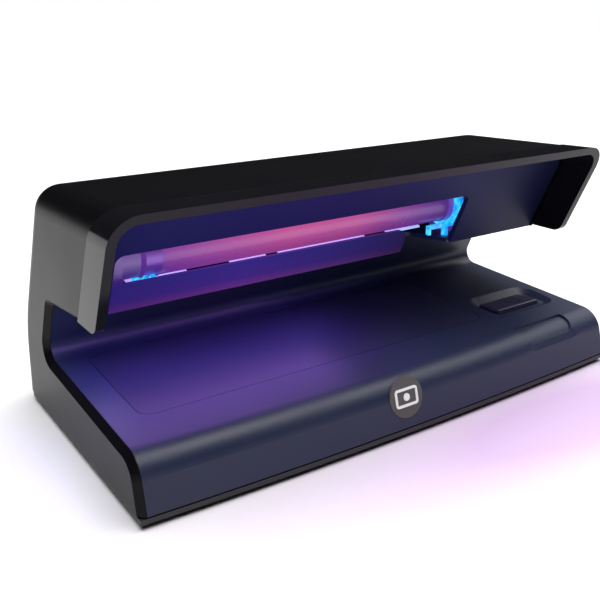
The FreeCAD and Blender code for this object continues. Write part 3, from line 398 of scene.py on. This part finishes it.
def tape_look():
    return moulded("coil_tape", (0.55, 0.33, 0.03), (0.65, 0.42, 0.05), (0.20, 0.30), grain=700.0)[0]


def sleeve_look():
    return moulded("capacitor_sleeve", (0.010, 0.018, 0.060), (0.014, 0.026, 0.080), (0.20, 0.28))[0]


def wire_look():
    return moulded("wire_sleeve", (0.60, 0.60, 0.60), (0.72, 0.72, 0.72), (0.45, 0.55))[0]


def foot_look():
    return moulded("foot_rubber", (0.010, 0.010, 0.010), (0.018, 0.018, 0.018), (0.75, 0.9),
                   grain=1500.0, strength=0.5)[0]


def steel_look(name):
    return metal(name, (0.42, 0.42, 0.44), (0.55, 0.55, 0.57), (0.22, 0.36))[0]


def sink_look():
    return metal("sink_aluminium", (0.45, 0.45, 0.47), (0.58, 0.58, 0.60), (0.35, 0.48),
                 stretch=(1.0, 1.0, 0.1))[0]


def brass_look():
    return metal("pin_brass", (0.55, 0.42, 0.18), (0.70, 0.56, 0.26), (0.20, 0.32))[0]


def finishes_and_painted_light():
    """One look for each material slot of the record."""
    return {
        "tray_plastic": tray_look(),
        "cover_plastic": cover_look(),
        "plate_plastic": plate_look(),
        "housing_plastic": housing_look(),
        "gloss_band": band_look(),
        "panel_plastic": panel_look(),
        "guard_plastic": guard_look(),
        "reflector_white": reflector_look(),
        "tube_glass": tube_look(),
        "cap_metal": cap_look(),
        "pin_metal": brass_look(),
        "holder_plastic": holder_look(),
        "screw_steel": steel_look("screw_zinc"),
        "clip_clear": clip_look(),
        "badge_metal": badge_look(),
        "mark_white": mark_look(),
        "button_plastic": key_look(),
        "switch_plastic": switch_look(),
        "spring_steel": steel_look("spring_wire"),
        "part_plastic": component_look(),
        "circuit_board": board_look(),
        "ferrite": ferrite_look(),
        "coil_tape": tape_look(),
        "capacitor_sleeve": sleeve_look(),
        "sink_metal": sink_look(),
        "wire_sleeve": wire_look(),
        "foot_rubber": foot_look(),
    }


def dress(obj, look):
    if not obj.data.materials:
        obj.data.materials.append(look)
    for i in range(len(obj.data.materials)):
        obj.data.materials[i] = look


def dress_nodes():
    looks = finishes_and_painted_light()
    for row in frame["record"]["subparts"]:
        dress(NODES[row["node"]], looks[row["material_slot"]])


def add_piece(mesh, name):
    """Object made from a finished mesh."""
    data = bpy.data.meshes.new(name)
    mesh.to_mesh(data)
    mesh.free()
    piece = bpy.data.objects.new(name, data)
    bpy.context.scene.collection.objects.link(piece)
    return piece


# ---------------------------------------------------------------- the key's symbol
SYMBOL_R = 0.0034
SYMBOL_LINE = 0.0006
SYMBOL_THICK = 0.00012
SYMBOL_LIFT = 0.00012        # above the key's box, whose top is lowered by the edge's rounding
SYMBOL_SHARE = 0.60          # of the key's width, from the left
SYMBOL_GAP = 36.0            # degrees, each side of the bar
SYMBOL_STEPS = 64
KEY_SLOPE = -0.7 / 11.0      # rise of the key's top for each unit of y


def key_top(x, y):
    """Point on the key's sloping top."""
    front_z = KEY_HIGH.z + SYMBOL_LIFT
    return Vector((x, y, front_z + KEY_SLOPE * (y - KEY_LOW.y)))


def flat_ring(mesh, middle, outer, inner, start, turn):
    """Part of a flat ring lying on the key's top, with thickness."""
    rings = []
    for i in range(SYMBOL_STEPS + 1):
        angle = start + turn * i / SYMBOL_STEPS
        for r in (outer, inner):
            spot = key_top(middle.x + r * math.cos(angle), middle.y + r * math.sin(angle))
            rings.append(mesh.verts.new(spot))
    low = [mesh.verts.new(v.co - Vector((0, 0, SYMBOL_THICK))) for v in rings]
    count = SYMBOL_STEPS
    for i in range(count):
        a, b, c, d = 2 * i, 2 * i + 1, 2 * i + 3, 2 * i + 2
        mesh.faces.new([rings[k] for k in (a, b, c, d)])
        mesh.faces.new([low[k] for k in (d, c, b, a)])
        mesh.faces.new((rings[a], rings[d], low[d], low[a]))
        mesh.faces.new((rings[c], rings[b], low[b], low[c]))
    for a, b in ((0, 1), (2 * count + 1, 2 * count)):
        mesh.faces.new((rings[b], rings[a], low[a], low[b]))


def power_symbol():
    """Broken ring with a short bar, printed on the power key."""
    place_x = KEY_LOW.x + SYMBOL_SHARE * (KEY_HIGH.x - KEY_LOW.x)
    middle = Vector((place_x, (KEY_LOW.y + KEY_HIGH.y) / 2, 0))
    mesh = bmesh.new()
    gap = math.radians(SYMBOL_GAP)
    flat_ring(mesh, middle, SYMBOL_R, SYMBOL_R - SYMBOL_LINE, math.pi / 2 + gap, 2 * math.pi - 2 * gap)
    half = SYMBOL_LINE / 2
    corners = []
    for y in (0.0, SYMBOL_R):
        for x in (-half, half):
            corners.append(key_top(middle.x + x, middle.y + y))
    top = [mesh.verts.new(c) for c in corners]
    low = [mesh.verts.new(c - Vector((0, 0, SYMBOL_THICK))) for c in corners]
    order = (0, 1, 3, 2)
    mesh.faces.new([top[i] for i in order])
    mesh.faces.new([low[i] for i in reversed(order)])
    for i, j in zip(order, order[1:] + order[:1]):
        mesh.faces.new((top[j], top[i], low[i], low[j]))
    bmesh.ops.recalc_face_normals(mesh, faces=mesh.faces)
    piece = add_piece(mesh, "power_symbol")
    dress(piece, symbol_look())
    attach(piece, "button")


# ---------------------------------------------------------------- the key's spring
SPRING_LOW, SPRING_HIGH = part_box("button_spring")
WIRE_R = 0.0005
SPRING_TURNS = 3
SPRING_STEPS = 96
WIRE_SIDES = 12


def wire_loop(mesh, share):
    """Vertices round the spring's wire, at a share of the way up the coil."""
    middle = (SPRING_LOW + SPRING_HIGH) / 2
    radius = (SPRING_HIGH.x - SPRING_LOW.x) / 2 - WIRE_R
    low = SPRING_LOW.z + WIRE_R
    rise = SPRING_HIGH.z - WIRE_R - low
    lean = rise / (2 * math.pi * SPRING_TURNS)
    angle = 2 * math.pi * SPRING_TURNS * share
    out = Vector((math.cos(angle), math.sin(angle), 0))
    spot = Vector((middle.x, middle.y, low + rise * share)) + radius * out
    forward = Vector((-radius * math.sin(angle), radius * math.cos(angle), lean)).normalized()
    side = out.cross(forward)
    turns = [2 * math.pi * k / WIRE_SIDES for k in range(WIRE_SIDES)]
    return [mesh.verts.new(spot + WIRE_R * (math.cos(t) * out + math.sin(t) * side)) for t in turns]


def coil():
    """Closed mesh of the spring's wire."""
    mesh = bmesh.new()
    loops = [wire_loop(mesh, i / SPRING_STEPS) for i in range(SPRING_STEPS + 1)]
    for near, far in zip(loops, loops[1:]):
        for k in range(WIRE_SIDES):
            after = (k + 1) % WIRE_SIDES
            mesh.faces.new((near[k], near[after], far[after], far[k]))
    mesh.faces.new(loops[0])
    mesh.faces.new(loops[-1])
    bmesh.ops.recalc_face_normals(mesh, faces=mesh.faces)
    for face in mesh.faces:
        face.smooth = len(face.verts) == 4
    return mesh


def key_spring():
    """Coil of the CAD spring's size and place."""
    piece = add_piece(coil(), "key_spring")
    dress(piece, steel_look("key_spring_wire"))
    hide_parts("button_spring")
    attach(piece, "root")
    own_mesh(piece)


# ---------------------------------------------------------------- floor, light, camera
FLOOR_HALF = 4.0
FLOOR_STEPS = 8
# painted pool of the lamp's light on the floor: its middle, its reach and its colour
PAINTED_POOL_PLACE = (0.05, -0.075, 0.0)
PAINTED_POOL_REACH = (0.26, 0.085, 1.0)
PALE = (0.94, 0.94, 0.94)
PAINTED_POOL_LILAC = (0.66, 0.49, 0.72)


def floor():
    """Pale table with a painted lilac pool of the lamp's light in front on the right."""
    mesh = bmesh.new()
    bmesh.ops.create_grid(mesh, x_segments=FLOOR_STEPS, y_segments=FLOOR_STEPS, size=FLOOR_HALF)
    piece = add_piece(mesh, "floor")
    look, tree, shader = new_look("floor_pale")
    place = tree.nodes.new("ShaderNodeTexCoord")
    mapping = tree.nodes.new("ShaderNodeMapping")
    mapping.vector_type = "TEXTURE"
    mapping.inputs["Location"].default_value = PAINTED_POOL_PLACE
    mapping.inputs["Scale"].default_value = PAINTED_POOL_REACH
    ball = tree.nodes.new("ShaderNodeTexGradient")
    ball.gradient_type = "QUADRATIC_SPHERE"
    tree.links.new(place.outputs["Object"], mapping.inputs["Vector"])
    tree.links.new(mapping.outputs["Vector"], ball.inputs["Vector"])
    # painted pool of lamp light, lilac towards its middle
    painted_light_pool = ramp(tree, ball.outputs["Fac"], [(0.0, PALE), (0.7, PAINTED_POOL_LILAC)])
    tree.links.new(painted_light_pool, shader.inputs["Base Color"])
    shader.inputs["Roughness"].default_value = 0.6
    shader.inputs["Specular IOR Level"].default_value = 0.2
    dress(piece, look)


def aim(obj, place, target):
    obj.location = place
    obj.rotation_euler = (Vector(target) - Vector(place)).to_track_quat("-Z", "Y").to_euler()


def soft_box(name, place, target, size, watts, colour=WHITE):
    data = bpy.data.lights.new(name, "AREA")
    data.shape = "RECTANGLE"
    data.size, data.size_y = size
    data.energy = watts
    data.color = colour
    lamp = bpy.data.objects.new(name, data)
    bpy.context.scene.collection.objects.link(lamp)
    aim(lamp, place, target)
    lamp.visible_camera = False
    return lamp


def shine_down(name, place, size, watts, colour):
    """Soft light that faces straight down."""
    return soft_box(name, place, (place[0], place[1], 0.0), size, watts, colour)


def lights():
    sky = bpy.data.lights.new("overhead", "SUN")
    sky.energy = OVERHEAD
    sky.angle = math.radians(OVERHEAD_SPREAD)
    above = bpy.data.objects.new("overhead", sky)
    bpy.context.scene.collection.objects.link(above)
    soft_box("right_box", SIDE_PLACE, LIGHT_AIM, SIDE_SIZE, SIDE_WATTS)
    axis_x = (TUBE_LOW.x + TUBE_HIGH.x) / 2
    axis_y = (TUBE_LOW.y + TUBE_HIGH.y) / 2
    length = TUBE_HIGH.x - TUBE_LOW.x
    under = (axis_x + SPILL_SIDE, axis_y - TUBE_SHIFT, TUBE_LOW.z - BELOW_TUBE)
    spill = shine_down("tube_spill", under, (SPILL_SHARE * length, SPILL_WIDTH), SPILL_WATTS, VIOLET)
    spill.data.spread = math.radians(SPILL_SPREAD)
    bay = (axis_x, axis_y, TUBE_LOW.z - BAY_DROP)
    shine_down("bay_glow", bay, (length, BAY_WIDTH), BAY_WATTS, VIOLET)
    left = (TUBE_LOW.x - LEFT_GLOW_OUT, axis_y + TUBE_SHIFT, TUBE_LOW.z - LEFT_GLOW_DROP)
    shine_down("left_glow", left, (LEFT_GLOW_SIZE, LEFT_GLOW_SIZE), LEFT_GLOW_WATTS, BLUE_VIOLET)


def world():
    """White behind the object, and a dim even fill for everything that it lights."""
    made = bpy.data.worlds.new("studio")
    made.use_nodes = True
    tree = made.node_tree
    fill = next(n for n in tree.nodes if n.type == "BACKGROUND")
    fill.inputs["Color"].default_value = (1.0, 1.0, 1.0, 1.0)
    fill.inputs["Strength"].default_value = FILL
    backdrop = tree.nodes.new("ShaderNodeBackground")
    backdrop.inputs["Color"].default_value = (1.0, 1.0, 1.0, 1.0)
    backdrop.inputs["Strength"].default_value = 1.0
    path = tree.nodes.new("ShaderNodeLightPath")
    pick = tree.nodes.new("ShaderNodeMixShader")
    out = next(n for n in tree.nodes if n.type == "OUTPUT_WORLD")
    tree.links.new(path.outputs["Is Camera Ray"], pick.inputs[0])
    tree.links.new(fill.outputs["Background"], pick.inputs[1])
    tree.links.new(backdrop.outputs["Background"], pick.inputs[2])
    tree.links.new(pick.outputs["Shader"], out.inputs["Surface"])
    bpy.context.scene.world = made


def camera():
    data = bpy.data.cameras.new("camera")
    data.lens = CAMERA_LENS
    data.shift_x, data.shift_y = CAMERA_SHIFT
    data.clip_start = 0.01
    shot = bpy.data.objects.new("camera", data)
    bpy.context.scene.collection.objects.link(shot)
    turn = Matrix.Rotation(math.radians(CAMERA_HEADING), 4, "Z")
    tilt = Matrix.Rotation(math.radians(90 + CAMERA_PITCH), 4, "X")
    roll = Matrix.Rotation(math.radians(CAMERA_ROLL), 4, "Z")
    shot.matrix_world = Matrix.Translation(CAMERA_PLACE) @ turn @ tilt @ roll
    bpy.context.scene.camera = shot


dress_nodes()
power_symbol()
key_spring()
floor()
lights()
world()
camera()
bpy.context.scene.view_settings.view_transform = "Standard"
